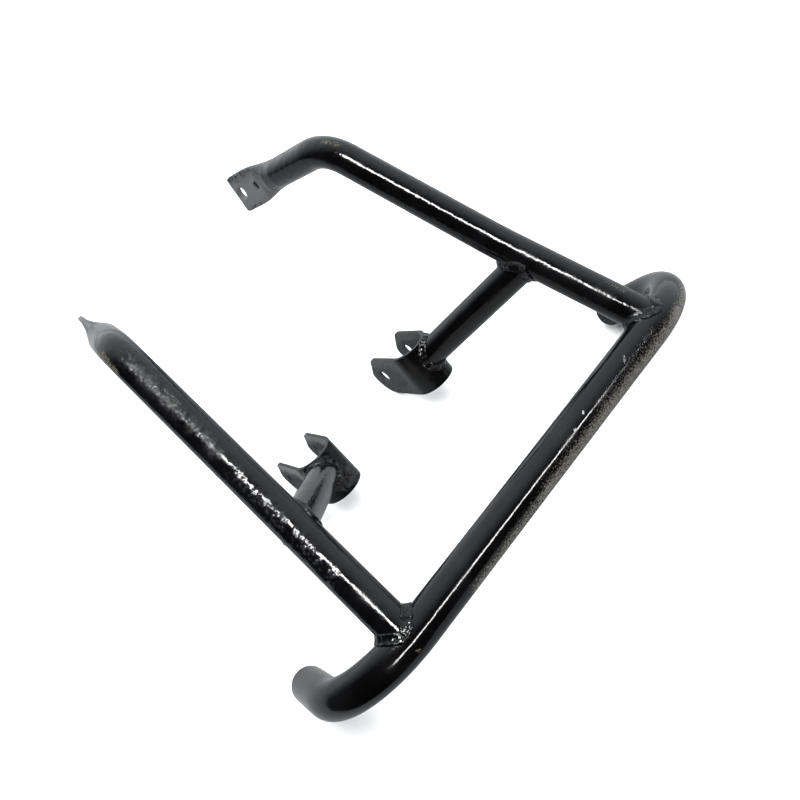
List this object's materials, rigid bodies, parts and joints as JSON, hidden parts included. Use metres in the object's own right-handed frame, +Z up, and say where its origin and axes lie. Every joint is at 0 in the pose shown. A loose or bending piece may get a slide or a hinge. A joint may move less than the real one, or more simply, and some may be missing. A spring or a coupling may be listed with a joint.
{
  "type": "atv front bumper",
  "caption": "Black tubular front bumper for a small quad bike: bent cross tube, two side rails with crushed bolt tabs, and stub tubes with U-shaped clevis straps.",
  "frame": {"origin": "middle of the footprint, on the ground that the curled ends and the clevis ears rest on", "axes": "+Z up from the ground, +Y from the cross tube to the bolt tabs, +X across the bumper"},
  "size_m": [0.4202, 0.4162, 0.2174],
  "materials": {
    "black_paint": "gloss, worn to bare metal in places",
    "weld_paint": "gloss over rippled weld beads"
  },
  "bodies": {
    "root": {"cross_tube": "black_paint", "end_cap_left": "black_paint", "end_cap_right": "black_paint", "side_tube_left": "black_paint", "side_tube_right": "black_paint", "stub_tube_left": "black_paint", "stub_tube_right": "black_paint", "clevis_left": "black_paint", "clevis_right": "black_paint", "side_weld_left": "weld_paint", "side_weld_right": "weld_paint", "stub_weld_left": "weld_paint", "stub_weld_right": "weld_paint", "clevis_weld_left": "weld_paint", "clevis_weld_right": "weld_paint"}
  },
  "joints": []
}
